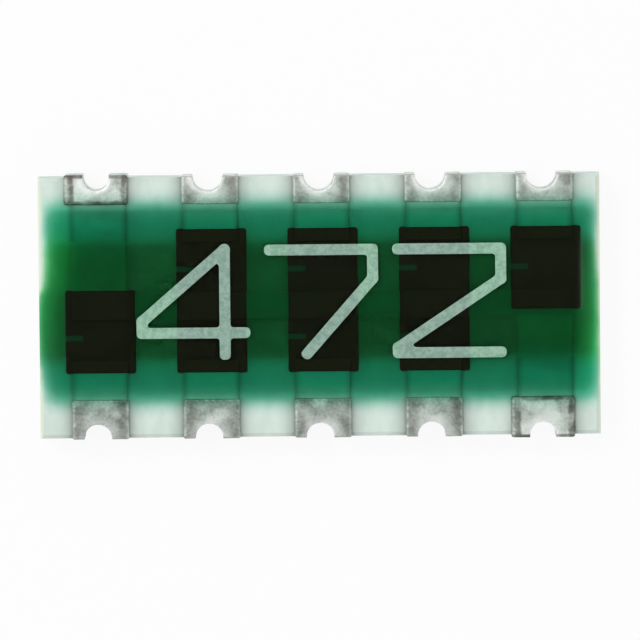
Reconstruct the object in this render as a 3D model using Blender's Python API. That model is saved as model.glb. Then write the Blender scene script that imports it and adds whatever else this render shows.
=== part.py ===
# Chip resistor network: eight equal thick-film resistors on one ceramic plate.
# Eight castellated terminals each feed a resistor, and two share the common rail.
# Units are metres. X runs along the plate, Y across it and Z up.
# The origin lies under the plate's middle, on the board that the pads rest on.

import math

import bmesh
import bpy

mm = 0.001

# Ceramic plate
plate_width = 2.98 * mm
plate_thickness = 0.48 * mm
snap_bevel = 0.045 * mm  # left along the edges where the plate was scored and snapped

# Terminal pattern
terminals_per_side = 5
pitch = 1.27 * mm
end_margin = 0.66 * mm  # from the last terminal's centre to the plate's end
notch_radius = 0.195 * mm  # half-round castellation in the ceramic

# Terminal coating
pad_coat = 0.024 * mm  # solder over the printed conductor, and under the plate
pad_side_cover = 0.020 * mm  # solder beside the conductor
bottom_pad_length = 0.50 * mm
front_notch_coat = 0.035 * mm
back_notch_coat = 0.020 * mm
solder_lip = 0.015 * mm  # how far the solder stands out from the plate's edge
lip_drop = 0.085 * mm  # how far it laps down that edge
solder_round = 0.016 * mm

# The two common terminals carry a fuller coat
common_pad_coat = 0.040 * mm
common_side_cover = 0.060 * mm
common_notch_coat = 0.042 * mm
common_lip = 0.035 * mm
common_round = 0.026 * mm

# Printed conductors
conductor_width = 0.615 * mm
conductor_thickness = 0.012 * mm
conductor_edge_setback = 0.010 * mm  # from the snapped edge's bevel
bus_width = 0.30 * mm
conductor_shift = (0.030 * mm, 0.020 * mm)  # this print's register on the plate

# Resistor films
film_width = 0.80 * mm
film_thickness = 0.015 * mm
film_overlap = 0.14 * mm  # how far a film lies on its electrode
film_bus_reach = 0.130 * mm  # a single film runs this far past the middle of its print
film_edge = 0.006 * mm
film_corner = 0.030 * mm
film_shift = (0.040 * mm, 0.075 * mm)

# Laser trim cuts, one in each resistor
trim_width = 0.065 * mm
trim_length = 0.20 * mm
trim_run_in = 0.030 * mm  # the cut starts this far outside the film
trim_place = 0.555  # of the way from an electrode to the bus

# Inner glass, over the trimmed stretch of the films
inner_glass_thickness = 0.014 * mm
inner_glass_setback = 0.175 * mm  # from a long film's end
inner_glass_corner = 0.060 * mm

# Outer glass, over all but the terminals
outer_glass_thickness = 0.020 * mm
outer_glass_taper = 0.26 * mm
outer_glass_lip = 0.006 * mm  # its depth over a conductor at its thin edge
outer_glass_corner = 0.16 * mm
bare_edge = 0.38 * mm  # ceramic and terminals left bare along each side
glazed_lead = 0.285 * mm  # conductor between the glass's edge and a long film's end
end_bare = 0.010 * mm  # from the snapped end's bevel to the glass
glass_shift = (0.0, 0.065 * mm)

# Fits
seat_gap = 0.002 * mm  # between fired layers that lie on each other
pad_gap = 0.004 * mm  # between the outer glass's edge and a terminal

# Smoothness
notch_segments = 36
corner_segments = 4
taper_steps = 5
run_past = 0.10 * mm  # cutters run this far past what they cut
root_step = 0.04 * mm  # blanks start at their own depth in the plate, and its cutter trims them

# Sizes that follow
plate_length = (terminals_per_side - 1) * pitch + 2 * end_margin
plate_low = pad_coat
plate_top = plate_low + plate_thickness
conductor_low = plate_top + seat_gap
conductor_top = conductor_low + conductor_thickness
film_low = plate_top + seat_gap
film_top = film_low + film_thickness
raised_film_top = conductor_top + seat_gap + film_thickness
inner_glass_top = raised_film_top + seat_gap + inner_glass_thickness
outer_glass_top = inner_glass_top + seat_gap + outer_glass_thickness
outer_glass_edge_top = conductor_top + seat_gap + outer_glass_lip
outer_glass_width = plate_width - 2 * bare_edge
glass_length = plate_length - 2 * (snap_bevel + end_bare)
long_film_length = outer_glass_width - 2 * glazed_lead
inner_glass_width = long_film_length - 2 * inner_glass_setback
edge_y = plate_width / 2
columns = [(k - (terminals_per_side - 1) / 2) * pitch for k in range(terminals_per_side)]
first, last = columns[0], columns[-1]
bus_low = conductor_shift[1] - bus_width / 2
bus_high = conductor_shift[1] + bus_width / 2
film_front = film_shift[1] - long_film_length / 2
film_back = film_shift[1] + long_film_length / 2
electrode_front = film_front + film_overlap
electrode_back = film_back - film_overlap
conductor_reach = edge_y - snap_bevel - conductor_edge_setback
glass_front = glass_shift[1] - outer_glass_width / 2
glass_back = glass_shift[1] + outer_glass_width / 2


# Scene and materials


def clear_scene():
    for old in list(bpy.data.objects):
        bpy.data.objects.remove(old, do_unlink=True)


def finish(name, color, roughness, metallic=0.0):
    made = bpy.data.materials.new(name)
    made.use_nodes = True
    shader = made.node_tree.nodes["Principled BSDF"]
    shader.inputs["Base Color"].default_value = (*color, 1.0)
    shader.inputs["Roughness"].default_value = roughness
    shader.inputs["Metallic"].default_value = metallic
    made.diffuse_color = (*color, 1.0)
    return made


def alumina():
    return finish("alumina", (0.62, 0.71, 0.65), 0.55)


def matte_solder():
    return finish("matte_solder", (0.38, 0.41, 0.38), 0.45, metallic=0.8)


def silver_print():
    return finish("silver_print", (0.43, 0.52, 0.48), 0.60, metallic=0.5)


def resistor_ink():
    return finish("resistor_ink", (0.010, 0.013, 0.009), 0.50)


def inner_glass_green():
    return finish("inner_glass_green", (0.005, 0.070, 0.016), 0.20)


def outer_glass_green():
    return finish("outer_glass_green", (0.012, 0.174, 0.091), 0.15)


# Solids


def add_object(name, bm, material=None):
    bmesh.ops.recalc_face_normals(bm, faces=bm.faces)
    mesh = bpy.data.meshes.new(name)
    bm.to_mesh(mesh)
    bm.free()
    solid = bpy.data.objects.new(name, mesh)
    bpy.context.scene.collection.objects.link(solid)
    if material:
        mesh.materials.append(material)
    else:
        solid.hide_render = True
        solid.display_type = "WIRE"
    return solid


def grown(box, by):
    x_low, x_high, y_low, y_high = box
    return (x_low - by, x_high + by, y_low - by, y_high + by)


def common_part(box, other):
    return (
        max(box[0], other[0]),
        min(box[1], other[1]),
        max(box[2], other[2]),
        min(box[3], other[3]),
    )


def rounded_outline(box, radius):
    """Corner points of a rectangle, anticlockwise, with each corner an arc."""
    x_low, x_high, y_low, y_high = box
    if radius <= 0:
        return [(x_high, y_high), (x_low, y_high), (x_low, y_low), (x_high, y_low)]
    centres = (
        (x_high - radius, y_high - radius),
        (x_low + radius, y_high - radius),
        (x_low + radius, y_low + radius),
        (x_high - radius, y_low + radius),
    )
    points = []
    for quarter, (x, y) in enumerate(centres):
        for k in range(corner_segments + 1):
            turn = (quarter + k / corner_segments) * math.pi / 2
            points.append((x + radius * math.cos(turn), y + radius * math.sin(turn)))
    return points


def stacked_block(box, corner, sections):
    """A rectangle carried up through its sections, each a height and an inset."""
    bm = bmesh.new()
    rings = []
    for height, inset in sections:
        radius = max(corner - inset, corner / 4) if corner else 0
        outline = rounded_outline(grown(box, -inset), radius)
        rings.append([bm.verts.new((x, y, height)) for x, y in outline])
    for ring, above in zip(rings, rings[1:]):
        for k in range(len(ring)):
            following = (k + 1) % len(ring)
            bm.faces.new((ring[k], ring[following], above[following], above[k]))
    bm.faces.new(reversed(rings[0]))
    bm.faces.new(rings[-1])
    return bm


def extruded(outline, low, high):
    bm = bmesh.new()
    face = bm.faces.new([bm.verts.new((x, y, low)) for x, y in outline])
    raised = bmesh.ops.extrude_face_region(bm, geom=[face])["geom"]
    moved = [item for item in raised if isinstance(item, bmesh.types.BMVert)]
    bmesh.ops.translate(bm, verts=moved, vec=(0, 0, high - low))
    return bm


def boolean(target, other, operation="DIFFERENCE"):
    step = target.modifiers.new(f"{operation.lower()}_{other.name}", "BOOLEAN")
    step.operation = operation
    step.solver = "EXACT"
    step.object = other


def smooth(solid, degrees=35):
    solid.data.shade_smooth()
    solid.data.set_sharp_from_angle(angle=math.radians(degrees))


# Terminal places, numbered anticlockwise from the front left


def terminal_places():
    """Number, column and side (-1 front, 1 back) of each terminal."""
    front = [(k + 1, x, -1) for k, x in enumerate(columns)]
    back = [(2 * terminals_per_side - k, x, 1) for k, x in enumerate(columns)]
    return front + back


def is_common(column, side):
    return (column, side) in ((first, 1), (last, -1))


def notch_coat(column, side):
    if is_common(column, side):
        return common_notch_coat
    return front_notch_coat if side < 0 else back_notch_coat


def notch_columns(name, radius_at):
    """Upright cylinders, one in each castellation, that run past both faces."""
    bm = bmesh.new()
    height = outer_glass_top + 2 * run_past
    for _, column, side in terminal_places():
        radius = radius_at(column, side)
        made = bmesh.ops.create_cone(
            bm, cap_ends=True, segments=notch_segments, radius1=radius, radius2=radius, depth=height
        )
        place = (column, side * edge_y, height / 2 - run_past)
        bmesh.ops.translate(bm, verts=made["verts"], vec=place)
    return add_object(name, bm)


# Conductors


def electrode_box(column, side):
    x_low = column + conductor_shift[0] - conductor_width / 2
    x_high = x_low + conductor_width
    if side < 0:
        return (x_low, x_high, -conductor_reach, electrode_front)
    return (x_low, x_high, electrode_back, conductor_reach)


def lead_box(column, side):
    """A common terminal's lead, which runs in to the bus's far edge."""
    x_low, x_high, _, _ = electrode_box(column, side)
    if side < 0:
        return (x_low, x_high, -conductor_reach, bus_high)
    return (x_low, x_high, bus_low, conductor_reach)


def bus_box():
    return (electrode_box(first, 1)[0], electrode_box(last, -1)[1], bus_low, bus_high)


def common_outline(by=0.0):
    """The bus and both of its leads as one outline, grown by a margin."""
    left, right, _, back = grown(lead_box(first, 1), by)
    far_left, far_right, front, _ = grown(lead_box(last, -1), by)
    _, _, low, high = grown(bus_box(), by)
    return [
        (left, low),
        (far_left, low),
        (far_left, front),
        (far_right, front),
        (far_right, high),
        (right, high),
        (right, back),
        (left, back),
    ]


def conductor_boxes():
    boxes = [bus_box(), lead_box(first, 1), lead_box(last, -1)]
    for _, column, side in terminal_places():
        if not is_common(column, side):
            boxes.append(electrode_box(column, side))
    return boxes


def conductor_clearance():
    """The plate and the conductors on it, grown by the seat gap.
    Past the plate's edge it also clears the stretch between the solder's two lips."""
    whole = (-plate_length / 2, plate_length / 2, -edge_y, edge_y)
    outside = -(common_lip + run_past)
    sections = (
        (plate_low - seat_gap, snap_bevel - seat_gap),
        (plate_low + snap_bevel - seat_gap, -seat_gap),
        (plate_low + lip_drop, -seat_gap),
        (plate_low + lip_drop, outside),
        (plate_top - lip_drop, outside),
        (plate_top - lip_drop, -seat_gap),
        (plate_top - snap_bevel + seat_gap, -seat_gap),
        (plate_top + seat_gap, snap_bevel - seat_gap),
    )
    cutter = add_object("seat_cutter", stacked_block(whole, 0, sections))
    outlines = [common_outline(seat_gap)]
    for _, column, side in terminal_places():
        if not is_common(column, side):
            box = grown(electrode_box(column, side), seat_gap)
            outlines.append(rounded_outline(box, 0))
    for k, outline in enumerate(outlines):
        raised = extruded(outline, plate_top - plate_thickness / 2, conductor_top + seat_gap)
        boolean(cutter, add_object(f"conductor_space_{k}", raised), "UNION")
    holes = notch_columns("notch_space", lambda column, side: notch_radius - seat_gap)
    boolean(cutter, holes)
    return cutter


def build_conductors(holes):
    ink = silver_print()
    rail = extruded(common_outline(), conductor_low, conductor_top)
    boolean(add_object("common_conductor", rail, ink), holes)
    for number, column, side in terminal_places():
        if is_common(column, side):
            continue
        outline = rounded_outline(electrode_box(column, side), 0)
        strip = extruded(outline, conductor_low, conductor_top)
        boolean(add_object(f"electrode_{number}", strip, ink), holes)


# Ceramic plate


def build_plate(holes):
    whole = (-plate_length / 2, plate_length / 2, -edge_y, edge_y)
    sections = (
        (plate_low, snap_bevel),
        (plate_low + snap_bevel, 0),
        (plate_top - snap_bevel, 0),
        (plate_top, snap_bevel),
    )
    plate = add_object("ceramic_plate", stacked_block(whole, 0, sections), alumina())
    boolean(plate, holes)
    smooth(plate)


# Castellated terminals


def terminal_blank(column, side):
    """The solder's outer form: a profile across the plate, extruded along its edge."""
    common = is_common(column, side)
    cover = common_side_cover if common else pad_side_cover
    coat = common_pad_coat if common else pad_coat
    lip = common_lip if common else solder_lip
    middle = column if common else column + conductor_shift[0]
    half = conductor_width / 2 + cover
    top = conductor_top + seat_gap + coat
    outer = side * (edge_y + lip)
    top_end = glass_front - pad_gap if side < 0 else glass_back + pad_gap
    bottom_end = side * (edge_y - bottom_pad_length)
    step = plate_low + plate_thickness / 2
    profile = (
        (outer, 0),
        (outer, top),
        (top_end, top),
        (top_end, step),
        (bottom_end, step),
        (bottom_end, 0),
    )
    bm = bmesh.new()
    face = bm.faces.new([bm.verts.new((middle - half, y, z)) for y, z in profile])
    pushed = bmesh.ops.extrude_face_region(bm, geom=[face])["geom"]
    moved = [item for item in pushed if isinstance(item, bmesh.types.BMVert)]
    bmesh.ops.translate(bm, verts=moved, vec=(2 * half, 0, 0))
    bmesh.ops.recalc_face_normals(bm, faces=bm.faces)
    bmesh.ops.bevel(
        bm,
        geom=list(bm.edges),
        offset=common_round if common else solder_round,
        segments=2,
        profile=0.5,
        affect="EDGES",
    )
    return bm


def build_terminals(seat):
    solder = matte_solder()
    channels = notch_columns(
        "channel_cutter", lambda column, side: notch_radius - seat_gap - notch_coat(column, side)
    )
    for number, column, side in terminal_places():
        terminal = add_object(f"terminal_{number}", terminal_blank(column, side), solder)
        boolean(terminal, seat)
        boolean(terminal, channels)
        smooth(terminal, 50)


# Resistor films


def film_box(index):
    """The end films stop just past the bus's middle, and the others cross it."""
    x_low = columns[index] + film_shift[0] - film_width / 2
    front, back = film_front, film_back
    if index == 0:
        back = film_shift[1] + film_bus_reach
    elif index == terminals_per_side - 1:
        front = film_shift[1] - film_bus_reach
    return (x_low, x_low + film_width, front, back)


def trim_boxes(index, by=0.0):
    """Cuts from the film's left edge, between each electrode and the bus."""
    x_low, _, front, back = film_box(index)
    places = []
    if front < electrode_front:
        places.append(electrode_front + trim_place * (bus_low - electrode_front))
    if back > electrode_back:
        places.append(electrode_back + trim_place * (bus_high - electrode_back))
    half = trim_width / 2
    return [grown((x_low - trim_run_in, x_low + trim_length, y - half, y + half), by) for y in places]


def trim_cutter(name, by=0.0):
    """All the trim cuts, from inside the plate to above the glass."""
    bm = bmesh.new()
    for index in range(terminals_per_side):
        for box in trim_boxes(index, by):
            cut = extruded(rounded_outline(box, 0), plate_low, outer_glass_top + run_past)
            spare = bpy.data.meshes.new("spare")
            cut.to_mesh(spare)
            cut.free()
            bm.from_mesh(spare)
            bpy.data.meshes.remove(spare)
    return add_object(name, bm)


def film_solid(name, index, material=None, by=0.0):
    """One printed film: a thin plate with a raised lid over each conductor below."""
    box = film_box(index)
    top = film_top + by
    sections = ((plate_top - root_step, -by), (top - film_edge, -by), (top, film_edge - by))
    film = add_object(name, stacked_block(box, film_corner, sections), material)
    top = raised_film_top + by
    lid_sections = ((plate_top, -by), (top - film_edge, -by), (top, film_edge - by))
    for k, below in enumerate(conductor_boxes()):
        lid = common_part(grown(below, film_thickness), grown(box, -2 * film_edge))
        if lid[0] >= lid[1] or lid[2] >= lid[3]:
            continue
        raised = add_object(f"{name}_lid_{k}", stacked_block(lid, film_edge, lid_sections))
        boolean(film, raised, "UNION")
    return film


def build_films(seat, trims):
    ink = resistor_ink()
    for index in range(terminals_per_side):
        film = film_solid(f"resistor_film_{index + 1}", index, ink)
        boolean(film, seat)
        boolean(film, trims)


# Glass layers


def inner_glass_solid(name, material=None, by=0.0):
    """A band of even depth that drapes over the plate, the bus and the films."""
    half_x, half_y = glass_length / 2, inner_glass_width / 2
    x, y = glass_shift[0], film_shift[1]
    box = (x - half_x, x + half_x, y - half_y, y + half_y)
    depth = seat_gap + inner_glass_thickness + by
    sheet = ((plate_top - 3 * root_step, 0), (plate_top + depth, 0))
    glass = add_object(name, stacked_block(grown(box, run_past), 0, sheet), material)
    over_bus = extruded(common_outline(depth), plate_top - 2 * root_step, conductor_top + depth)
    boolean(glass, add_object(f"{name}_over_bus", over_bus), "UNION")
    for index in range(terminals_per_side):
        boolean(glass, film_solid(f"{name}_over_film_{index + 1}", index, by=depth), "UNION")
    reach = ((plate_low, -by), (outer_glass_top + run_past, -by))
    band = add_object(f"{name}_band", stacked_block(box, inner_glass_corner, reach))
    boolean(glass, band, "INTERSECT")
    return glass


def outer_glass_block(name, material):
    """A low cushion: thin at its edge, and rising to full depth in a quarter ellipse."""
    half_x, half_y = glass_length / 2, outer_glass_width / 2
    x, y = glass_shift
    box = (x - half_x, x + half_x, y - half_y, y + half_y)
    rise = outer_glass_top - outer_glass_edge_top
    sections = [(plate_top - 4 * root_step, 0.0)]
    for k in range(taper_steps + 1):
        turn = k / taper_steps * math.pi / 2
        inset = outer_glass_taper * (1 - math.cos(turn))
        sections.append((outer_glass_edge_top + rise * math.sin(turn), inset))
    return add_object(name, stacked_block(box, outer_glass_corner, sections), material)


def build_glass(seat, trims):
    trim_cores = trim_cutter("trim_cores", -seat_gap)
    film_spaces = []
    for index in range(terminals_per_side):
        space = film_solid(f"film_space_{index + 1}", index, by=seat_gap)
        boolean(space, trim_cores)
        film_spaces.append(space)

    inner = inner_glass_solid("inner_glass", inner_glass_green())
    outer = outer_glass_block("outer_glass", outer_glass_green())
    inner_space = inner_glass_solid("inner_glass_space", by=seat_gap)
    boolean(inner_space, trim_cores)
    for layer in (inner, outer):
        boolean(layer, seat)
        for space in film_spaces:
            boolean(layer, space)
    boolean(inner, trims)
    boolean(outer, inner_space)
    smooth(outer)


def build_network():
    clear_scene()
    holes = notch_columns("notch_cutter", lambda column, side: notch_radius)
    seat = conductor_clearance()
    trims = trim_cutter("trim_cutter")
    build_plate(holes)
    build_conductors(holes)
    build_terminals(seat)
    build_films(seat, trims)
    build_glass(seat, trims)


build_network()
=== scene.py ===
import math

import bpy
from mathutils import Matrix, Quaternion, Vector, noise


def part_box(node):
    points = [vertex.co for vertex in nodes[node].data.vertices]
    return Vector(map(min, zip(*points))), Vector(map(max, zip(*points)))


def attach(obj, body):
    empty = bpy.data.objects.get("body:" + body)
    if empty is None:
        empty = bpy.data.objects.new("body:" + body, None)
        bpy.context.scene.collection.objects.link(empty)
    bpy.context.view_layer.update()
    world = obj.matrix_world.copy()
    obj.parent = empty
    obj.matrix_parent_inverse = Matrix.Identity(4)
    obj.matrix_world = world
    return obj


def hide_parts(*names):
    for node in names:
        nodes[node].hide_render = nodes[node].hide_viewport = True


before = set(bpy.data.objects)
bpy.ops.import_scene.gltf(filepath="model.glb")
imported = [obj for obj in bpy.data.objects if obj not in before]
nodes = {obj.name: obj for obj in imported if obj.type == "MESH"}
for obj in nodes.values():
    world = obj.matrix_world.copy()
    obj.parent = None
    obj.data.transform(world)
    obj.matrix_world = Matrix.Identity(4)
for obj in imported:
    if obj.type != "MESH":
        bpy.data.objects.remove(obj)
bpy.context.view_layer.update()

perMm = 1000  # new pieces and patterns are worked out in millimetres


def boxInMm(node):
    low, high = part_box(node)
    return low * perMm, high * perMm


plateLow, plateHigh = boxInMm("ceramic_plate")
sheetLow, sheetHigh = boxInMm("outer_glass")
bandLow, bandHigh = boxInMm("inner_glass")
padLow, padHigh = boxInMm("electrode_3")
films = [boxInMm(f"resistor_film_{n}") for n in range(1, 6)]
conductors = [boxInMm(f"electrode_{n}") for n in (1, 2, 3, 4, 6, 7, 8, 9)]
conductorTop = padHigh.z
pitch = boxInMm("electrode_4")[0].x - padLow.x
conductorShift = (padLow.x + padHigh.x) / 2  # the print lies a little to the right of the notches


# Helpers for shader nodes

def newMaterial(name):
    material = bpy.data.materials.new(name)
    material.use_nodes = True
    material.node_tree.nodes.clear()
    return material, material.node_tree


def addNode(tree, kind, **settings):
    node = tree.nodes.new("ShaderNode" + kind)
    for key, value in settings.items():
        setattr(node, key, value)
    return node


def feed(tree, socket, value):
    if isinstance(value, bpy.types.NodeSocket):
        tree.links.new(value, socket)
    else:
        socket.default_value = value


def calc(tree, operation, *values):
    node = addNode(tree, "Math", operation=operation)
    for socket, value in zip(node.inputs, values):
        feed(tree, socket, value)
    return node.outputs[0]


def away(tree, value, place):
    # how far a value lies from a place, to either side
    return calc(tree, "ABSOLUTE", calc(tree, "SUBTRACT", value, place))


def fade(tree, value, start, end, low=0.0, high=1.0):
    node = addNode(tree, "MapRange", interpolation_type="SMOOTHSTEP")
    given = {"Value": value, "From Min": start, "From Max": end, "To Min": low, "To Max": high}
    for name, number in given.items():
        feed(tree, node.inputs[name], number)
    return node.outputs[0]


def upTo(tree, offset, half, soft):
    # 1 up to half from a middle and 0 beyond it, with a soft border
    return fade(tree, offset, half - soft, half + soft, 1.0, 0.0)


def ramp(tree, place, stops):
    # a curve through the stops, level beyond them; it may fall below 0
    start, end = stops[0][0], stops[-1][0]
    node = addNode(tree, "MapRange")
    for name, number in (("Value", place), ("From Min", start), ("From Max", end)):
        feed(tree, node.inputs[name], number)
    curve = addNode(tree, "FloatCurve")
    tree.links.new(node.outputs[0], curve.inputs["Value"])
    points = curve.mapping.curves[0].points
    low = min(0.0, *(level for _, level in stops))
    reach = max(level for _, level in stops) - low
    while len(points) < len(stops):
        points.new(0.5, 0.5)
    for point, (distance, level) in zip(points, stops):
        point.location = ((distance - start) / (end - start), (level - low) / reach)
        point.handle_type = "AUTO_CLAMPED"
    curve.mapping.update()
    return calc(tree, "MULTIPLY_ADD", curve.outputs[0], reach, low)


def cloud(tree, vector, scale, detail=3.0, roughness=0.5, stretch=None):
    if stretch:
        squeezed = addNode(tree, "VectorMath", operation="MULTIPLY")
        feed(tree, squeezed.inputs[0], vector)
        squeezed.inputs[1].default_value = stretch
        vector = squeezed.outputs[0]
    node = addNode(tree, "TexNoise")
    feed(tree, node.inputs["Vector"], vector)
    node.inputs["Scale"].default_value = scale
    node.inputs["Detail"].default_value = detail
    node.inputs["Roughness"].default_value = roughness
    return node.outputs["Fac"]


def waver(tree, vector, scale, size, detail=3.0):
    # a soft disorder around 0
    return calc(tree, "MULTIPLY", calc(tree, "SUBTRACT", cloud(tree, vector, scale, detail), 0.5), size)


def mixColour(tree, factor, first, second, blend="MIX"):
    node = addNode(tree, "Mix", data_type="RGBA", blend_type=blend)
    feed(tree, node.inputs[0], factor)
    feed(tree, node.inputs[6], first)
    feed(tree, node.inputs[7], second)
    return node.outputs[2]


def objectPlace(tree):
    # the point in millimetres, as a vector and as x, y and z
    coords = addNode(tree, "TexCoord")
    scaled = addNode(tree, "VectorMath", operation="SCALE")
    scaled.inputs["Scale"].default_value = perMm
    tree.links.new(coords.outputs["Object"], scaled.inputs[0])
    parts = addNode(tree, "SeparateXYZ")
    tree.links.new(scaled.outputs[0], parts.inputs[0])
    return scaled.outputs[0], *parts.outputs


def insideOutline(tree, x, y, low, high, corner):
    # how far a point lies inside a rectangle with round corners
    sides = []
    for value, start, end in ((x, low.x, high.x), (y, low.y, high.y)):
        offset = away(tree, value, (start + end) / 2)
        sides.append(calc(tree, "SUBTRACT", offset, (end - start) / 2 - corner))
    outer = [calc(tree, "MAXIMUM", side, 0.0) for side in sides]
    squares = [calc(tree, "MULTIPLY", side, side) for side in outer]
    reach = calc(tree, "SQRT", calc(tree, "ADD", *squares))
    inner = calc(tree, "MINIMUM", calc(tree, "MAXIMUM", *sides), 0.0)
    return calc(tree, "SUBTRACT", corner, calc(tree, "ADD", reach, inner))


def offColumn(tree, x, middle):
    # how far a point lies from the nearest of the middles, which stand a pitch apart
    column = calc(tree, "FLOORED_MODULO", calc(tree, "ADD", x, pitch / 2 - middle), pitch)
    return away(tree, column, pitch / 2)


def pastSheet(tree, y):
    # how far a point lies past the outer glass, across the plate
    offset = away(tree, y, (sheetLow.y + sheetHigh.y) / 2)
    return calc(tree, "SUBTRACT", offset, (sheetHigh.y - sheetLow.y) / 2)


def addSurface(tree, look, colour, roughness, height):
    # the look says how metallic and shiny the surface is, and how strong and how deep its bumps are
    shader = addNode(tree, "BsdfPrincipled")
    feed(tree, shader.inputs["Base Color"], colour)
    feed(tree, shader.inputs["Roughness"], roughness)
    shader.inputs["Metallic"].default_value = look["metallic"]
    shader.inputs["Specular IOR Level"].default_value = look["specular"]
    strength, depth = look["bumps"]
    bump = addNode(tree, "Bump")
    bump.inputs["Strength"].default_value = strength
    bump.inputs["Distance"].default_value = depth / perMm
    tree.links.new(height, bump.inputs["Height"])
    tree.links.new(bump.outputs[0], shader.inputs["Normal"])
    output = addNode(tree, "OutputMaterial")
    tree.links.new(shader.outputs[0], output.inputs["Surface"])


# The green of the two glasses, laid over whatever they cover

glaze = {
    "outerTint": (0.0145, 0.100, 0.060),  # what comes back through the outer glass
    "outerBody": (0.0, 0.182, 0.0905),  # what the glass itself sends back where it is deep
    "innerTint": (0.25, 0.43, 0.195),  # the same two for the inner band
    "innerBody": (0.0, 0.0, 0.0),
    "sideRamp": (  # depth of the green by the distance from the glass's long sides, in millimetres
        (-0.22, 0.0), (-0.16, 0.025), (-0.11, 0.08), (-0.06, 0.19), (-0.017, 0.37), (0.03, 0.59),
        (0.075, 0.77), (0.12, 0.92), (0.165, 1.05), (0.21, 1.15), (0.30, 1.2), (0.50, 1.2)
    ),
    "endRamp": (  # and from its ends
        (0.0, 0.0), (0.02, 0.04), (0.04, 0.13), (0.063, 0.27), (0.086, 0.41), (0.11, 0.52), (0.135, 0.61),
        (0.16, 0.70), (0.185, 0.77), (0.21, 0.83), (0.26, 0.92), (0.31, 0.97), (0.40, 1.0)
    ),
    "endSkew": 0.12,  # the green sets in faster at the right end
    "leftStray": (  # how much further the green reaches at the left end, from front to back
        (-1.1, 0.0), (-0.8, 0.015), (-0.6, 0.045), (-0.35, 0.065), (-0.1, 0.07), (0.1, 0.05), (0.33, -0.01),
        (0.6, -0.02), (1.1, -0.012)
    ),
    "rightStray": (
        (-1.1, 0.0), (-0.6, 0.006), (-0.1, 0.0), (0.15, -0.005), (0.35, -0.02), (0.6, -0.035), (1.1, -0.01)
    ),
    "bandSideRamp": ((-0.22, 0.0), (-0.10, 0.16), (-0.02, 0.45), (0.05, 0.78), (0.16, 1.0)),
    "bandEndRamp": (
        (0.0, 0.0), (0.03, 0.15), (0.058, 0.38), (0.092, 0.58), (0.127, 0.74), (0.25, 0.95), (0.40, 1.0)
    ),
    "endGlow": (
        (0.0, 1.35), (0.05, 1.30), (0.12, 1.24), (0.20, 1.24), (0.28, 1.2), (0.38, 1.05), (0.50, 1.0)
    ),
    "bandGlow": (
        (0.0, 1.4), (0.06, 1.62), (0.12, 1.6), (0.20, 1.46), (0.33, 1.23), (0.42, 1.05), (0.70, 1.0)
    ),
    "glowPowers": {"endGlow": (0.0, 0.7), "bandGlow": (0.8, 0.4)},  # of red and blue, where green's is 1
    "creep": (0.010, -0.012),  # how far the green strays outwards, front and back
    "lean": 0.008,  # how far the glass lies towards the right end
    "glowSkew": 1.0,  # the ends glow more where no film lies near them
    "leastGlow": 0.35,
    "outerCorner": 0.16,
    "wander": 0.04,  # how far the printed edge strays
    "wanderScale": 3.5,
    "unevenness": 0.12,
    "unevenScale": 1.1,
}


def tinted(tree, colour, tint, body, depth):
    # each channel falls from 1 towards what the glass itself sends back, as the depth grows
    channels = addNode(tree, "CombineColor")
    for socket, share, own in zip(channels.inputs, tint, body):
        passed = calc(tree, "POWER", share, depth)
        tree.links.new(calc(tree, "MULTIPLY_ADD", passed, 1 - own, own), socket)
    return mixColour(tree, 1.0, colour, channels.outputs[0], "MULTIPLY")


def addGlow(tree, colour, name, share, fromEnd, skewed):
    # light that leaves the glass near the plate's ends
    extra = calc(tree, "SUBTRACT", ramp(tree, fromEnd, glaze[name]), 1.0)
    strength = calc(tree, "MULTIPLY_ADD", extra, skewed, 1.0)
    redPower, bluePower = glaze["glowPowers"][name]
    glow = addNode(tree, "CombineColor")
    tree.links.new(calc(tree, "POWER", strength, redPower), glow.inputs[0])
    tree.links.new(strength, glow.inputs[1])
    tree.links.new(calc(tree, "POWER", strength, bluePower), glow.inputs[2])
    glowing = mixColour(tree, 1.0, colour, glow.outputs[0], "MULTIPLY")
    return mixColour(tree, calc(tree, "MINIMUM", share, 1.0), colour, glowing)


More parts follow.
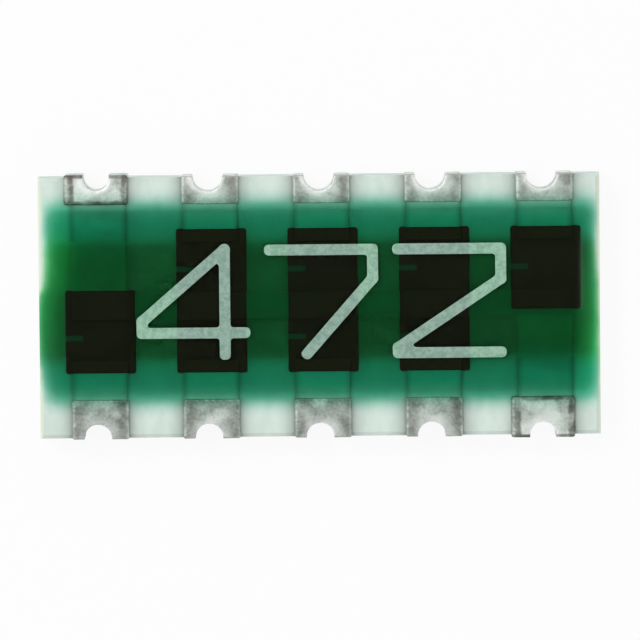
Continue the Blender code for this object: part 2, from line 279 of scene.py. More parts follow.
def makeGlazeGroup():
    tree = bpy.data.node_groups.new("greenUnderGlaze", "ShaderNodeTree")
    tree.interface.new_socket("Colour", in_out="INPUT", socket_type="NodeSocketColor")
    tree.interface.new_socket("Colour", in_out="OUTPUT", socket_type="NodeSocketColor")
    given = tree.nodes.new("NodeGroupInput")
    result = tree.nodes.new("NodeGroupOutput")
    point, x, y, _ = objectPlace(tree)
    stray = waver(tree, point, glaze["wanderScale"], glaze["wander"])
    level = calc(tree, "ADD", 1.0, waver(tree, point, glaze["unevenScale"], glaze["unevenness"], 2.0))
    strayed = calc(tree, "ADD", y, stray)

    low = sheetLow.y - glaze["creep"][0]
    high = sheetHigh.y + glaze["creep"][1]
    fromSide = calc(tree, "SUBTRACT", (high - low) / 2, away(tree, strayed, (low + high) / 2))
    along = away(tree, calc(tree, "ADD", x, stray), glaze["lean"])
    fromEnd = calc(tree, "SUBTRACT", plateHigh.x + glaze["lean"], along)
    skew = calc(tree, "MULTIPLY_ADD", x, glaze["endSkew"] / plateHigh.x, 1.0)
    atRight = calc(tree, "GREATER_THAN", x, 0.0)
    left, right = (ramp(tree, y, glaze[name]) for name in ("leftStray", "rightStray"))
    shift = calc(tree, "MULTIPLY_ADD", calc(tree, "SUBTRACT", right, left), atRight, left)
    fromEnd = calc(tree, "MULTIPLY_ADD", fromEnd, skew, shift)
    sides = ramp(tree, fromSide, glaze["sideRamp"])
    ends = ramp(tree, fromEnd, glaze["endRamp"])
    outer = calc(tree, "MULTIPLY", calc(tree, "MULTIPLY", sides, ends), level)
    colour = tinted(tree, given.outputs[0], glaze["outerTint"], glaze["outerBody"], outer)

    bandHalf = (bandHigh.y - bandLow.y) / 2
    fromSide = calc(tree, "SUBTRACT", bandHalf, away(tree, strayed, (bandLow.y + bandHigh.y) / 2))
    sides = ramp(tree, fromSide, glaze["bandSideRamp"])
    ends = ramp(tree, fromEnd, glaze["bandEndRamp"])
    inner = calc(tree, "MULTIPLY", calc(tree, "MULTIPLY", sides, ends), level)
    colour = tinted(tree, colour, glaze["innerTint"], glaze["innerBody"], inner)

    skewed = calc(tree, "MULTIPLY_ADD", calc(tree, "MULTIPLY", x, y), -glaze["glowSkew"] / plateHigh.x, 1.0)
    skewed = calc(tree, "MAXIMUM", skewed, glaze["leastGlow"])
    colour = addGlow(tree, colour, "endGlow", outer, fromEnd, skewed)
    colour = addGlow(tree, colour, "bandGlow", inner, fromEnd, skewed)
    tree.links.new(colour, result.inputs[0])
    return tree


glazeGroup = makeGlazeGroup()


def underGlaze(tree, colour):
    node = addNode(tree, "Group", node_tree=glazeGroup)
    feed(tree, node.inputs[0], colour)
    return node.outputs[0]


def dress(names, material):
    for name in names:
        for slot in nodes[name].material_slots:
            slot.link = "OBJECT"
            slot.material = material


# The soft dark line where a print ends, a painted shadow of the print's low step

printEdgeShadow = {
    "width": 0.07,
    "shade": (0.76, 0.74, 0.74, 1),
    "inner": 0.685,  # from the middle of the prints to the ends of the eight leads
    "middle": 0.075,
}


def paintPrintEdgeShadow(tree, colour, x, y):
    # darkens the colour on both sides of a print's edge, as painted shadow
    fromEdge = away(tree, offColumn(tree, x, conductorShift), (padHigh.x - padLow.x) / 2)
    nearEdge = fade(tree, fromEdge, 0.0, printEdgeShadow["width"], 1.0, 0.0)
    onLeads = calc(tree, "GREATER_THAN", away(tree, y, printEdgeShadow["middle"]), printEdgeShadow["inner"])
    return mixColour(tree, calc(tree, "MULTIPLY", nearEdge, onLeads), colour, printEdgeShadow["shade"], "MULTIPLY")


# The fired ceramic plate

ceramic = {
    "colour": (0.70, 0.812, 0.748, 1),
    "shade": (0.634, 0.748, 0.682, 1),
    "padShadowAndStain": ((0.0, 0.9), (0.023, 0.8), (0.057, 0.58), (0.09, 0.39), (0.125, 0.23), (0.16, 0.12), (0.22, 0.0)),
    "padShadowAndStainColour": (0.56, 0.56, 0.56, 1),  # darker beside the pads: painted shade of the raised solder, partly a flux stain
    "padShadowAndStainStart": (-0.06, 0.08),  # from the edge of the glass
    "padHalf": 0.333,
    "padShift": 0.03,
    "rim": (0.76, 0.86, 0.68, 1),  # light that leaves the glass at the plate's ends
    "rimFade": (0.01, 0.05),
    "streakScale": 7.0,
    "streakStretch": (1.0, 0.45, 1.0),
    "grainScale": 60.0,
    "grainShare": 0.25,
    "roughness": (0.55, 0.75),
    "metallic": 0.0,
    "specular": 0.1,
    "bumps": (0.25, 0.003),
    "topFace": 0.046,  # how far below the top the glaze's colour still shows
    "cutShade": (0.42, 0.42, 0.5, 1),  # the scorched bottom of the trim cuts
    "cutReach": 0.7,  # the cuts lie nearer to the plate's long middle line than this
    "filmHalf": 0.40,
    "filmShift": 0.04,
    "fullFilms": 1.9,  # out to here the films lie on both sides of the bus
}


def padShadowAndStainShare(tree, x, y):
    # painted shade of the raised pads, partly a flux stain, on the bare strips: 1 beside a pad, 0 away from
    # it and under the glass
    fromPad = calc(tree, "SUBTRACT", offColumn(tree, x, ceramic["padShift"]), ceramic["padHalf"])
    bare = fade(tree, pastSheet(tree, y), *ceramic["padShadowAndStainStart"])
    return calc(tree, "MULTIPLY", ramp(tree, fromPad, ceramic["padShadowAndStain"]), bare)


def underFilms(tree, x, y):
    # 1 below the films, where the ceramic shows only in the trim cuts
    inColumn = calc(tree, "LESS_THAN", offColumn(tree, x, ceramic["filmShift"]), ceramic["filmHalf"])
    fullFilms = calc(tree, "LESS_THAN", calc(tree, "ABSOLUTE", x), ceramic["fullFilms"])
    endFilms = calc(tree, "GREATER_THAN", calc(tree, "MULTIPLY", x, y), 0.0)
    near = calc(tree, "LESS_THAN", calc(tree, "ABSOLUTE", y), ceramic["cutReach"])
    below = calc(tree, "MULTIPLY", inColumn, calc(tree, "MAXIMUM", fullFilms, endFilms))
    return calc(tree, "MULTIPLY", below, near)


def makeCeramic():
    material, tree = newMaterial("firedAlumina")
    point, x, y, z = objectPlace(tree)
    streaks = cloud(tree, point, ceramic["streakScale"], 3.0, 0.6, ceramic["streakStretch"])
    grain = cloud(tree, point, ceramic["grainScale"], 2.0)
    body = mixColour(tree, fade(tree, streaks, 0.35, 0.7), ceramic["colour"], ceramic["shade"])
    specks = calc(tree, "MULTIPLY", fade(tree, grain, 0.4, 0.7), ceramic["grainShare"])
    body = mixColour(tree, specks, body, ceramic["shade"])
    body = mixColour(tree, underFilms(tree, x, y), body, ceramic["cutShade"], "MULTIPLY")
    # painted shade beside the raised pads, partly a flux stain
    top = mixColour(tree, padShadowAndStainShare(tree, x, y), body, ceramic["padShadowAndStainColour"], "MULTIPLY")
    fromEnd = calc(tree, "SUBTRACT", plateHigh.x, calc(tree, "ABSOLUTE", x))
    top = mixColour(tree, fade(tree, fromEnd, *ceramic["rimFade"], 1.0, 0.0), top, ceramic["rim"])
    onTop = calc(tree, "GREATER_THAN", z, plateHigh.z - ceramic["topFace"])
    colour = mixColour(tree, onTop, body, underGlaze(tree, paintPrintEdgeShadow(tree, top, x, y)))
    rough = fade(tree, grain, 0.3, 0.7, *ceramic["roughness"])
    addSurface(tree, ceramic, colour, rough, grain)
    return material


# The printed silver conductors

silver = {
    "colour": (0.72, 0.84, 0.76, 1),
    "patch": (0.66, 0.77, 0.69, 1),
    "patchScale": 5.0,
    "grainScale": 25.0,
    "busColour": (0.54, 0.63, 0.57, 1),
    "busMiddle": 0.02,
    "busHalf": 0.15,
    "busBorder": 0.01,
    "endShade": (1.0, 0.87, 0.87, 1),  # greyer on the last stretch before the solder and beneath it
    "endFade": (-0.11, -0.03),  # from the edge of the glass
    "roughness": 0.55,
    "metallic": 0.0,
    "specular": 0.05,
    "bumps": (0.2, 0.002),
}


def makeSilver():
    material, tree = newMaterial("firedSilverPrint")
    point, x, y, _ = objectPlace(tree)
    grain = cloud(tree, point, silver["grainScale"], 3.0)
    patches = cloud(tree, point, silver["patchScale"], 3.0)
    colour = mixColour(tree, fade(tree, patches, 0.35, 0.65), silver["colour"], silver["patch"])
    onBus = upTo(tree, away(tree, y, silver["busMiddle"]), silver["busHalf"], silver["busBorder"])
    colour = mixColour(tree, onBus, colour, silver["busColour"])
    colour = paintPrintEdgeShadow(tree, colour, x, y)
    nearSolder = fade(tree, pastSheet(tree, y), *silver["endFade"])
    colour = mixColour(tree, nearSolder, colour, silver["endShade"], "MULTIPLY")
    addSurface(tree, silver, underGlaze(tree, colour), silver["roughness"], grain)
    return material


# The black resistor films

film = {
    "colour": (0.0083, 0.0120, 0.0049, 1),
    "shade": (0.0107, 0.0114, 0.0055, 1),
    "mottleScale": 14.0,
    "border": 0.02,  # softness of the ink's change over the edge of a film
    "roughness": 0.6,
    "metallic": 0.0,
    "specular": 0.0,
    "bumps": (0.2, 0.002),
}


def overFilms(tree, x, y):
    # 1 over the black films, 0 beside them
    low, high = films[2]
    across = upTo(tree, offColumn(tree, x, (low.x + high.x) / 2), (high.x - low.x) / 2, film["border"])
    along = upTo(tree, away(tree, y, (low.y + high.y) / 2), (high.y - low.y) / 2, film["border"])
    return calc(tree, "MULTIPLY", across, along)


def makeFilm():
    material, tree = newMaterial("firedResistorInk")
    point = objectPlace(tree)[0]
    mottle = cloud(tree, point, film["mottleScale"], 4.0, 0.6)
    colour = mixColour(tree, fade(tree, mottle, 0.35, 0.7), film["colour"], film["shade"])
    addSurface(tree, film, colour, film["roughness"], mottle)
    return material


# The clear body of the glasses, which only shines

shine = {
    "roughness": 0.12,
    "index": 1.5,
    "waveScale": 2.2,
    "waveStrength": 0.25,
    "waveHeight": 0.01,
    "dullEdge": 0.03,  # the thin edge of the glass shines less
    "innerShare": 0.05,  # and so does the inner glass, under the outer one
}


def makeClear(name, amount=1.0):
    # the amount is how much of the shine is left
    material, tree = newMaterial(name)
    point, x, y, _ = objectPlace(tree)
    clear = addNode(tree, "BsdfTransparent")
    gloss = addNode(tree, "BsdfGlossy")
    gloss.inputs["Roughness"].default_value = shine["roughness"]
    fresnel = addNode(tree, "Fresnel")
    fresnel.inputs["IOR"].default_value = shine["index"]
    bump = addNode(tree, "Bump")
    bump.inputs["Strength"].default_value = shine["waveStrength"]
    bump.inputs["Distance"].default_value = shine["waveHeight"] / perMm
    tree.links.new(cloud(tree, point, shine["waveScale"], 2.0), bump.inputs["Height"])
    tree.links.new(bump.outputs[0], gloss.inputs["Normal"])
    tree.links.new(bump.outputs[0], fresnel.inputs["Normal"])
    facing = addNode(tree, "NewGeometry")
    front = calc(tree, "SUBTRACT", 1.0, facing.outputs["Backfacing"])
    share = calc(tree, "MULTIPLY", fresnel.outputs[0], front)
    inside = insideOutline(tree, x, y, sheetLow, sheetHigh, glaze["outerCorner"])
    share = calc(tree, "MULTIPLY", share, fade(tree, inside, shine["dullEdge"], 3 * shine["dullEdge"]))
    mixed = addNode(tree, "MixShader")
    tree.links.new(calc(tree, "MULTIPLY", share, amount), mixed.inputs[0])
    tree.links.new(clear.outputs[0], mixed.inputs[1])
    tree.links.new(gloss.outputs[0], mixed.inputs[2])
    output = addNode(tree, "OutputMaterial")
    tree.links.new(mixed.outputs[0], output.inputs["Surface"])
    return material


# The solder of the terminals, its shape and its look

terminal = {
    "gap": 0.002,  # to the plate and to the conductor
    "glassGap": 0.004,
    "underPad": 0.50,  # depth of the lower pad
    "snapBevel": 0.045,
    "notchRadius": 0.195,
    "coat": {"front": 0.035, "back": 0.020, "common": 0.042},  # solder in the notch
    "round": {"plain": 0.020, "common": 0.028},
    "crown": {"plain": 0.010, "common": 0.016},  # how far the sides fall below the middle
    "flat": 0.6,  # share of the width that stays level
    "voxel": 0.010,
    "lumpHeight": 0.0035,
    "grainHeight": 0.0012,
    "lumpsPerMm": 6.0,
    "grainsPerMm": 21.0,
    "lumpShift": 3.7,  # gives every terminal lumps of its own
}

solder = {
    "front": {
        "light": (0.78, 0.85, 0.79, 1), "dark": (0.30, 0.34, 0.31, 1), "lipShade": (0.44, 0.42, 0.39, 1),
        "half": 0.3275, "middle": 0.03,
        "glareWidth": 0.12, "glareLean": -0.14, "glareShare": (0.36, 0.04, 0.0)
    },
    "back": {
        "light": (0.90, 0.98, 0.92, 1), "dark": (0.48, 0.54, 0.49, 1), "lipShade": (0.52, 0.50, 0.47, 1),
        "half": 0.3275, "middle": 0.03,
        "glareWidth": 0.075, "glareLean": 0.08, "glareShare": (0.9, 0.0, 0.0)
    },
    "common": {
        "light": (0.88, 0.97, 0.90, 1), "dark": (0.40, 0.45, 0.41, 1), "lipShade": (0.14, 0.128, 0.11, 1),
        "half": 0.3675, "middle": 0.02,
        "glareWidth": 0.09, "glareLean": 0.12,
        "glareShare": (0.64, 0.0, 0.14)  # at the plate's middle, and its gain to the right and to the back
    },
    # how dark the solder is by the distance from a pad's sides, and from the glass: painted shade of the
    # sloping sides, partly flux residue, and painted shade in the crease at the glass
    "plainSide": (
        (0.0, 0.3), (0.03, 0.7), (0.055, 0.95), (0.09, 0.9), (0.13, 0.65), (0.18, 0.35), (0.27, 0.0)
    ),
    "commonSide": ((0.0, 0.55), (0.025, 0.85), (0.045, 1.0), (0.065, 1.0), (0.11, 0.0)),
    "frontGlassSide": ((-0.02, 0.0), (0.01, 0.0), (0.04, 0.1), (0.07, 0.0)),
    "backGlassSide": ((-0.02, 0.0), (0.0, 0.12), (0.02, 0.3), (0.045, 0.3), (0.08, 0.0)),
    "commonGlassSide": ((-0.02, 1.0), (0.02, 1.0), (0.06, 0.0)),  # thin dark line against the glass, painted shade in the crease
    "wall": ((-0.02, 0.15), (0.008, 0.12), (0.024, 0.0)),  # the plain pads' low walls catch the light
    "wallColour": (0.95, 0.98, 0.95, 1),
    "sideShade": {"plain": (0.48, 0.47, 0.455, 1), "common": (0.25, 0.24, 0.215, 1)},
    "lipFade": (-0.02, 0.01),  # from the plate's edge
    "glareColour": (0.96, 0.98, 0.96, 1),
    "glareInset": 0.03,
    "greenShare": (0.88, 0.7),  # how much of the green lies over the solder, at the glass and away from it
    "greenReach": 0.08,
    "wave": 0.07,  # how far the borders of the dark and the bright places wander
    "waveScale": 9.0,
    "patchScale": 5.0,
    "blotchScale": 6.0,
    "grainScale": 26.0,
    "grainShare": 0.42,
    "roughness": (0.45, 0.65),
    "metallic": 0.8,
    "specular": 0.5,
    "bumps": (0.5, 0.006),
}


def makeSolder(kind):
    material, tree = newMaterial(kind + "TinSolder")
    tone = solder[kind]
    style = "common" if kind == "common" else "plain"
    point, x, y, z = objectPlace(tree)
    blotch = fade(tree, cloud(tree, point, solder["blotchScale"], 2.0), 0.32, 0.68)
    grain = cloud(tree, point, solder["grainScale"], 2.0)
    coarse = calc(tree, "MULTIPLY", blotch, 1 - solder["grainShare"])
    mottle = calc(tree, "MULTIPLY_ADD", fade(tree, grain, 0.3, 0.7), solder["grainShare"], coarse)
    colour = mixColour(tree, mottle, tone["light"], tone["dark"])

    # the dark sides of a pad: painted shade, partly flux residue, and painted shade along the glass
    column = calc(tree, "FLOORED_MODULO", calc(tree, "ADD", x, pitch / 2), pitch)
    column = calc(tree, "SUBTRACT", column, pitch / 2)
    fromSide = calc(tree, "SUBTRACT", tone["half"], away(tree, column, tone["middle"]))
    fromGlass = pastSheet(tree, y)
    wavy = waver(tree, point, solder["waveScale"], solder["wave"], 2.0)
    patchy = fade(tree, cloud(tree, point, solder["patchScale"], 1.0), 0.3, 0.6, 0.45, 1.0)
    besideSide = ramp(tree, calc(tree, "ADD", fromSide, wavy), solder[style + "Side"])
    besideGlass = ramp(tree, calc(tree, "ADD", fromGlass, wavy), solder[kind + "GlassSide"])
    onTop = calc(tree, "GREATER_THAN", z, plateHigh.z)
    dark = calc(tree, "MULTIPLY", calc(tree, "MAXIMUM", besideSide, besideGlass), patchy)
    dark = calc(tree, "MULTIPLY", dark, onTop)
    colour = mixColour(tree, dark, colour, solder["sideShade"][style], "MULTIPLY")
    if style == "plain":
        wall = ramp(tree, calc(tree, "MINIMUM", fromSide, fromGlass), solder["wall"])
        colour = mixColour(tree, calc(tree, "MULTIPLY", wall, onTop), colour, solder["wallColour"])

    # the glare round the notch, and the lip over the plate's edge, painted dark as shade of the steep lip,
    # partly a brown tarnish
    fromMouth = calc(tree, "SUBTRACT", calc(tree, "ABSOLUTE", y), plateHigh.y)
    square = calc(tree, "MULTIPLY_ADD", column, column, calc(tree, "MULTIPLY", fromMouth, fromMouth))
    reach = calc(tree, "MULTIPLY_ADD", column, tone["glareLean"], calc(tree, "SQRT", square))
    start = terminal["notchRadius"] - solder["glareInset"]
    glare = fade(tree, calc(tree, "ADD", reach, wavy), start, start + tone["glareWidth"], 1.0, 0.0)
    share, towardsRight, towardsBack = tone["glareShare"]
    share = calc(tree, "MULTIPLY_ADD", x, towardsRight, calc(tree, "MULTIPLY_ADD", y, towardsBack, share))
    glare = calc(tree, "MULTIPLY", glare, calc(tree, "MULTIPLY", share, onTop))
    colour = mixColour(tree, glare, colour, solder["glareColour"])
    onLip = calc(tree, "MULTIPLY", fade(tree, fromMouth, *solder["lipFade"]), onTop)
    colour = mixColour(tree, calc(tree, "MULTIPLY", onLip, patchy), colour, tone["lipShade"])

    green = fade(tree, calc(tree, "ADD", fromGlass, wavy), 0.0, solder["greenReach"], *solder["greenShare"])
    colour = mixColour(tree, calc(tree, "MULTIPLY", onTop, green), colour, underGlaze(tree, colour))
    rough = fade(tree, grain, 0.3, 0.7, *solder["roughness"])
    addSurface(tree, solder, colour, rough, grain)
    return material


dress(["ceramic_plate"], makeCeramic())
dress([name for name in nodes if name.startswith("electrode") or name == "common_conductor"], makeSilver())
dress([name for name in nodes if name.startswith("resistor_film")], makeFilm())
dress(["inner_glass"], makeClear("innerGlassClear", shine["innerShare"]))
print("materials made")


# Helpers for modelling

def selectOnly(piece):
    bpy.ops.object.select_all(action="DESELECT")
    piece.select_set(True)
    bpy.context.view_layer.objects.active = piece


def addBlock(name, low, high):
    bpy.ops.object.select_all(action="DESELECT")
    low, high = Vector(low), Vector(high)
    bpy.ops.mesh.primitive_cube_add(size=1, location=(low + high) / 2)
    block = bpy.context.object
    block.name = name
    block.scale = high - low
    bpy.ops.object.transform_apply(location=True, rotation=True, scale=True)
    return block


def applyModifier(piece, kind, **settings):
    selectOnly(piece)
    modifier = piece.modifiers.new(kind.lower(), kind)
    for key, value in settings.items():
        setattr(modifier, key, value)
    bpy.ops.object.modifier_apply(modifier=modifier.name)


def combine(piece, other, operation="DIFFERENCE"):
    applyModifier(piece, "BOOLEAN", object=other, operation=operation, solver="EXACT")
    bpy.data.objects.remove(other)


def bevelEdges(piece, offset, segments, wanted):
    # bevels the edges whose ends pass the test
    selectOnly(piece)
    bpy.ops.object.mode_set(mode="EDIT")
    bpy.ops.mesh.select_mode(type="EDGE")
    bpy.ops.mesh.select_all(action="DESELECT")
    bpy.ops.object.mode_set(mode="OBJECT")
    for edge in piece.data.edges:
        start, end = (piece.data.vertices[index].co for index in edge.vertices)
        edge.select = wanted(start, end)
    bpy.ops.object.mode_set(mode="EDIT")
    bpy.ops.mesh.bevel(offset=offset, segments=segments, profile=0.5, clamp_overlap=True)
    bpy.ops.object.mode_set(mode="OBJECT")


def finishPiece(piece, material, replaced=None):
    # shrinks the piece from millimetres to metres and hangs it on the body
    selectOnly(piece)
    piece.scale = (1 / perMm,) * 3
    bpy.ops.object.transform_apply(location=True, rotation=True, scale=True)
    bpy.ops.object.shade_smooth()
    piece.data.materials.clear()
    piece.data.materials.append(material)
    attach(piece, "root")
    if replaced:
        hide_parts(replaced)


# The solder wraps of the ten terminals

def columnOf(number):
    return (number - 3 if number <= 5 else 8 - number) * pitch


def terminalBlank(number):
    low, high = boxInMm(f"terminal_{number}")
    side = -1 if low.y < 0 else 1
    common = number in (5, 10)
    style = "common" if common else "plain"
    column = columnOf(number)
    outer = low.y if side < 0 else high.y
    room = terminal["lumpHeight"]
    padEnd = (sheetLow.y if side < 0 else sheetHigh.y) + side * terminal["glassGap"]
    underEnd = side * (plateHigh.y - terminal["underPad"])
    middle = (plateLow.z + plateHigh.z) / 2

    start, end = sorted((outer - side * room, padEnd))
    blank = addBlock(f"solder_{number}", (low.x + room, start, room / 2), (high.x - room, end, high.z - room))
    selectOnly(blank)
    bpy.ops.object.mode_set(mode="EDIT")
    bpy.ops.mesh.select_all(action="SELECT")
    bpy.ops.mesh.bisect(plane_co=(0, 0, middle), plane_no=(0, 0, 1))
    bpy.ops.mesh.select_mode(type="FACE")
    bpy.ops.mesh.select_all(action="DESELECT")
    bpy.ops.object.mode_set(mode="OBJECT")
    for face in blank.data.polygons:
        face.select = face.normal.y * side < -0.9 and face.center.z < middle
    bpy.ops.object.mode_set(mode="EDIT")
    bpy.ops.mesh.extrude_region_move(TRANSFORM_OT_translate={"value": (0, underEnd - padEnd, 0)})
    bpy.ops.object.mode_set(mode="OBJECT")
    bevelEdges(blank, terminal["round"][style], 3, lambda start, end: True)

    gap = terminal["gap"]
    coat = terminal["coat"]["common" if common else "front" if side < 0 else "back"]
    seat = addSeat(gap)
    combine(seat, addColumn(terminal["notchRadius"] - gap, column, side))
    combine(blank, seat)
    half = (padHigh.x - padLow.x) / 2 + gap
    middle = column + conductorShift
    start, end = sorted((side * (abs(padLow.y) + gap), 0))
    pocketTop = conductorTop + gap
    pocket = addBlock("pocket", (middle - half, start, plateHigh.z - gap), (middle + half, end, pocketTop))
    combine(blank, pocket)
    combine(blank, addColumn(terminal["notchRadius"] - gap - coat, column, side))
    return blank


def addSeat(gap):
    # the room that the plate takes up
    reach = Vector((1, gap, gap))
    seat = addBlock("seat", plateLow - reach, plateHigh + reach)
    bevelEdges(seat, terminal["snapBevel"], 1, lambda start, end: abs(start.x - end.x) > 1)
    return seat


def addColumn(radius, column, side):
    bpy.ops.object.select_all(action="DESELECT")
    place = (column, side * plateHigh.y, 0.3)
    bpy.ops.mesh.primitive_cylinder_add(vertices=64, radius=radius, depth=2, location=place)
    return bpy.context.object


def raiseLumps(piece, number):
    # rounded shoulders, blotchy swellings and the fine grain of cooled solder
    mesh = piece.data
    low, high = boxInMm(f"terminal_{number}")
    middle, half = (low.x + high.x) / 2, (high.x - low.x) / 2
    crown = terminal["crown"]["common" if number in (5, 10) else "plain"]
    shift = Vector((number * terminal["lumpShift"], 0, 0))
    normals = [vertex.normal.copy() for vertex in mesh.vertices]
    for vertex, normal in zip(mesh.vertices, normals):
        lump = noise.noise((vertex.co + shift) * terminal["lumpsPerMm"])
        grain = noise.noise((vertex.co + shift) * terminal["grainsPerMm"])
        rise = lump * terminal["lumpHeight"] + grain * terminal["grainHeight"]
        vertex.co += normal * max(-terminal["lumpHeight"], min(terminal["lumpHeight"], rise))
        if vertex.co.z > conductorTop:
            shoulder = max(0.0, abs(vertex.co.x - middle) / half - terminal["flat"]) / (1 - terminal["flat"])
            vertex.co.z -= crown * shoulder ** 2
        vertex.co.z = max(vertex.co.z, 0.0)


def copyAlong(piece, name, distance):
    selectOnly(piece)
    bpy.ops.object.duplicate(linked=False)
    copied = bpy.context.object
    copied.name = name
    copied.location.x = distance
    bpy.ops.object.transform_apply(location=True, rotation=True, scale=True)
    return copied


def makeTerminals():
    materials = {kind: makeSolder(kind) for kind in ("front", "back", "common")}
    # the middle terminal of each row is copied along it, and the two common ones differ in depth
    rows = (("front", 3, (1, 2, 4)), ("back", 8, (6, 7, 9)), ("common", 5, ()), ("common", 10, ()))
    for kind, first, others in rows:
        model = terminalBlank(first)
        applyModifier(model, "REMESH", mode="VOXEL", voxel_size=terminal["voxel"])
        applyModifier(model, "SMOOTH", factor=0.5, iterations=2)
        pieces = {first: model}
        for number in others:
            pieces[number] = copyAlong(model, f"solder_{number}", columnOf(number))
        for number, piece in pieces.items():
            raiseLumps(piece, number)
            finishPiece(piece, materials[kind], f"terminal_{number}")
    print("terminals made")


makeTerminals()


# The outer glass, which drapes over the prints

drape = {
    "edgeTop": 0.5235,
    "bareTop": 0.549,
    "rise": {"band": 0.007, "film": 0.007, "conductor": 0.004},
    "taper": 0.30,
    "softness": 0.10,
    "wave": 0.0012,
    "wavesPerMm": 1.6,
    "step": 0.025,  # spacing of the surface's points
    "room": 0.1,  # how far the block that cuts the top reaches past the glass
    "cutHeight": 0.2,
}


def easing(value):
    value = max(0.0, min(1.0, value))
    return value * value * (3 - 2 * value)


def plateau(x, y, low, high):
    # 1 on a printed rectangle, 0 off it, with soft shoulders
    soft = drape["softness"]
    share = 1.0
    for reach in (x - low.x, high.x - x, y - low.y, high.y - y):
        share *= easing(reach / soft + 0.5)
    return share


def insideSheet(x, y):
    corner = glaze["outerCorner"]
    across = abs(x - (sheetLow.x + sheetHigh.x) / 2) - (sheetHigh.x - sheetLow.x) / 2 + corner
    along = abs(y - (sheetLow.y + sheetHigh.y) / 2) - (sheetHigh.y - sheetLow.y) / 2 + corner
    return corner - math.hypot(max(across, 0), max(along, 0)) - min(max(across, along), 0)


def glassTop(x, y):
    level = drape["bareTop"] + drape["rise"]["band"] * plateau(x, y, bandLow, bandHigh)
    level += drape["rise"]["film"] * sum(plateau(x, y, *box) for box in films)
    level += drape["rise"]["conductor"] * sum(plateau(x, y, *box) for box in conductors)
    level += drape["wave"] * noise.noise((x * drape["wavesPerMm"], y * drape["wavesPerMm"], 0))
    turn = max(0.0, min(1.0, insideSheet(x, y) / drape["taper"]))
    return drape["edgeTop"] + (level - drape["edgeTop"]) * math.sin(turn * math.pi / 2)


def mergedCopy(node, name):
    # a copy of a frame piece in millimetres, with its loose triangles joined
    piece = bpy.data.objects.new(name, nodes[node].data.copy())
    bpy.context.scene.collection.objects.link(piece)
    selectOnly(piece)
    piece.scale = (perMm,) * 3
    bpy.ops.object.transform_apply(location=True, rotation=True, scale=True)
    bpy.ops.object.mode_set(mode="EDIT")
    bpy.ops.mesh.select_all(action="SELECT")
    bpy.ops.mesh.remove_doubles(threshold=0.0005)
    bpy.ops.object.mode_set(mode="OBJECT")
    return piece


def makeOuterGlass():
    sheet = mergedCopy("outer_glass", "outer_glaze")
    room = drape["room"]
    size = sheetHigh - sheetLow + Vector((2 * room, 2 * room, 0))
    bpy.ops.object.select_all(action="DESELECT")
    bpy.ops.mesh.primitive_grid_add(
        x_subdivisions=round(size.x / drape["step"]), y_subdivisions=round(size.y / drape["step"]), size=1,
        location=((sheetLow.x + sheetHigh.x) / 2, (sheetLow.y + sheetHigh.y) / 2, 0)
    )
    above = bpy.context.object
    above.scale = (size.x, size.y, 1)
    bpy.ops.object.transform_apply(location=True, rotation=True, scale=True)
    for vertex in above.data.vertices:
        vertex.co.z = glassTop(vertex.co.x, vertex.co.y)
    applyModifier(above, "SOLIDIFY", thickness=drape["cutHeight"], offset=1)
    combine(sheet, above)
    finishPiece(sheet, makeClear("outerGlassClear"), "outer_glass")
    print("outer glass made")


makeOuterGlass()


# The value code, three digits in pale ink on the glass

valueCode = {
    "digits": (
        ((0.806, 0.0), (0.806, 1.01), (0.0, 0.32), (0.0, 0.208), (1.0, 0.208)),  # four
        ((0.0, 1.0), (1.0, 1.0), (1.0, 0.72), (0.36, 0.0)),  # seven
        ((0.0, 1.0), (1.0, 1.0), (1.0, 0.707), (0.0, 0.05), (0.0, 0.0), (1.0, 0.0)),  # two
    ),
    "left": -2.027,
    "bottom": -0.537,
    "width": 1.1745,
    "height": 1.186,
    "pitch": 1.46,
    "stroke": 0.125,
    "rounding": 0.05,
    "ink": 0.0055,
    "sunk": 0.0015,
    "barHeight": 0.1,  # before a stroke is laid on the glass
    "voxel": 0.016,
    "mottleScale": 17.0,
    "colour": (0.328, 0.535, 0.407, 1),
    "shade": (0.220, 0.400, 0.288, 1),
    "overFilm": (0.945, 0.84, 0.935, 1),  # the ink looks greyer over the black films
    "roughness": 0.6,
    "metallic": 0.0,
    "specular": 0.2,
    "bumps": (0.3, 0.002),
}


def addBar(start, end):
    # one stroke of the screen, with rounded corners
    stroke, half = valueCode["stroke"], valueCode["barHeight"] / 2
    length = (end - start).length + stroke
    bar = addBlock("bar", (-length / 2, -stroke / 2, -half), (length / 2, stroke / 2, half))
    bevelEdges(bar, valueCode["rounding"], 3, lambda low, high: abs(low.z - high.z) > half)
    selectOnly(bar)
    middle = (start + end) / 2
    bar.rotation_euler.z = math.atan2(end.y - start.y, end.x - start.x)
    bar.location = (middle.x, middle.y, 0)
    bpy.ops.object.transform_apply(location=True, rotation=True, scale=True)
    return bar


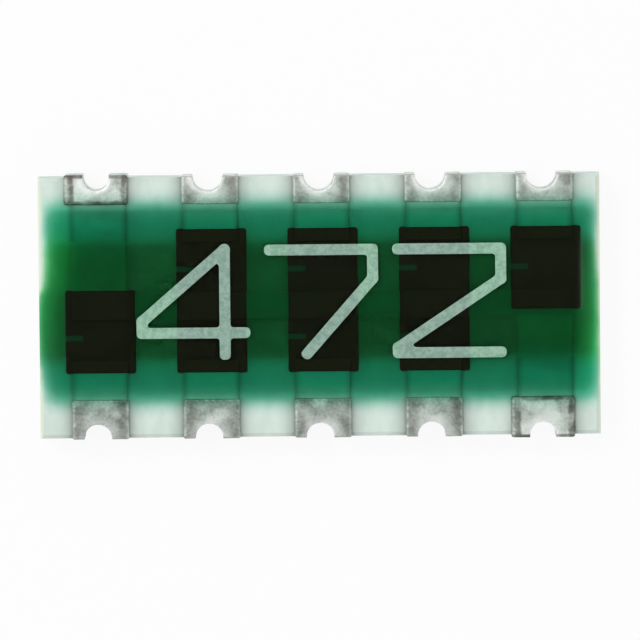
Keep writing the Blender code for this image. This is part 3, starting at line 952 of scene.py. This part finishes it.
def makeValueCode():
    material, tree = newMaterial("paleMarkingInk")
    point, x, y, _ = objectPlace(tree)
    mottle = cloud(tree, point, valueCode["mottleScale"], 3.0, 0.7)
    colour = mixColour(tree, fade(tree, mottle, 0.36, 0.66), valueCode["colour"], valueCode["shade"])
    colour = mixColour(tree, overFilms(tree, x, y), colour, valueCode["overFilm"], "MULTIPLY")
    addSurface(tree, valueCode, colour, valueCode["roughness"], mottle)
    for number, strokes in enumerate(valueCode["digits"], 1):
        corner = Vector((valueCode["left"] + (number - 1) * valueCode["pitch"], valueCode["bottom"]))
        points = [corner + Vector((u * valueCode["width"], v * valueCode["height"])) for u, v in strokes]
        digit = addBar(points[0], points[1])
        digit.name = f"value_digit_{number}"
        for start, end in zip(points[1:], points[2:]):
            combine(digit, addBar(start, end), "UNION")
        applyModifier(digit, "REMESH", mode="VOXEL", voxel_size=valueCode["voxel"])
        applyModifier(digit, "SMOOTH", factor=0.5, iterations=3)
        for vertex in digit.data.vertices:
            share = max(0.0, min(1.0, vertex.co.z / valueCode["barHeight"] + 0.5))
            under = glassTop(vertex.co.x, vertex.co.y) - valueCode["sunk"]
            vertex.co.z = under + share * valueCode["ink"]
        finishPiece(digit, material)
    print("value code made")


makeValueCode()


# Floor, light and camera

studio = {
    "floorSize": 0.8,
    "floorColour": (0.9, 0.9, 0.9, 1),
    "floorGlow": 0.89,  # how much of the floor's white stays out of the shadow
    "ring": ((0.0, 0.65), (0.2, 0.75), (0.5, 0.95), (0.72, 1.4), (0.86, 1.5), (0.965, 0.03), (1.0, 0.03)),
    "keyPower": 0.0195,
    "keySize": 0.04,
    "keyPlace": (-0.045, 0.035, 0.07),
}


def makeFloor():
    bpy.ops.mesh.primitive_plane_add(size=studio["floorSize"])
    floor = bpy.context.object
    floor.name = "floor"
    material, tree = newMaterial("paleFloor")
    matte = addNode(tree, "BsdfDiffuse")
    matte.inputs["Color"].default_value = studio["floorColour"]
    white = addNode(tree, "Emission")
    rays = addNode(tree, "LightPath")
    seen = calc(tree, "MAXIMUM", rays.outputs["Is Camera Ray"], rays.outputs["Is Glossy Ray"])
    seen = calc(tree, "MAXIMUM", seen, rays.outputs["Is Transmission Ray"])
    mixed = addNode(tree, "MixShader")
    tree.links.new(calc(tree, "MULTIPLY", seen, studio["floorGlow"]), mixed.inputs[0])
    tree.links.new(matte.outputs[0], mixed.inputs[1])
    tree.links.new(white.outputs[0], mixed.inputs[2])
    output = addNode(tree, "OutputMaterial")
    tree.links.new(mixed.outputs[0], output.inputs["Surface"])
    floor.data.materials.append(material)


def makeWorld():
    world = bpy.data.worlds.new("softRoom")
    bpy.context.scene.world = world
    world.use_nodes = True
    tree = world.node_tree
    tree.nodes.clear()
    coords = addNode(tree, "TexCoord")
    parts = addNode(tree, "SeparateXYZ")
    tree.links.new(coords.outputs["Generated"], parts.inputs[0])
    strength = ramp(tree, parts.outputs[2], studio["ring"])
    sky = addNode(tree, "Background")
    tree.links.new(strength, sky.inputs["Strength"])
    output = addNode(tree, "OutputWorld")
    tree.links.new(sky.outputs[0], output.inputs["Surface"])


def makeKey():
    lamp = bpy.data.lights.new("softKey", "AREA")
    lamp.energy = studio["keyPower"]
    lamp.size = studio["keySize"]
    key = bpy.data.objects.new("softKey", lamp)
    bpy.context.scene.collection.objects.link(key)
    key.location = studio["keyPlace"]
    key.rotation_mode = "QUATERNION"
    key.rotation_quaternion = (-key.location).to_track_quat("-Z", "Y")


photo = {
    "fieldWidth": 0.007298,  # what the photo's 640 pixels take in at the plate's top
    "distance": 0.08,
    "tilt": 4.0,  # degrees beyond straight down, from the back edge
    "roll": 0.53,
    "aim": (0.000003, -0.000156, 0.00053),
}


def makeCamera():
    data = bpy.data.cameras.new("camera")
    camera = bpy.data.objects.new("camera", data)
    bpy.context.scene.collection.objects.link(camera)
    bpy.context.scene.camera = camera
    data.sensor_width = 36
    data.lens = data.sensor_width * photo["distance"] / photo["fieldWidth"]
    data.clip_start = 0.001
    data.clip_end = 2
    tilt, roll = math.radians(photo["tilt"]), math.radians(photo["roll"])
    back = Vector((0, math.sin(tilt), math.cos(tilt)))
    camera.location = Vector(photo["aim"]) + back * photo["distance"]
    camera.rotation_mode = "QUATERNION"
    camera.rotation_quaternion = Quaternion((1, 0, 0), -tilt) @ Quaternion((0, 0, 1), -roll)


makeFloor()
makeWorld()
makeKey()
makeCamera()
bpy.context.scene.view_settings.view_transform = "Standard"
print("floor, light and camera set")
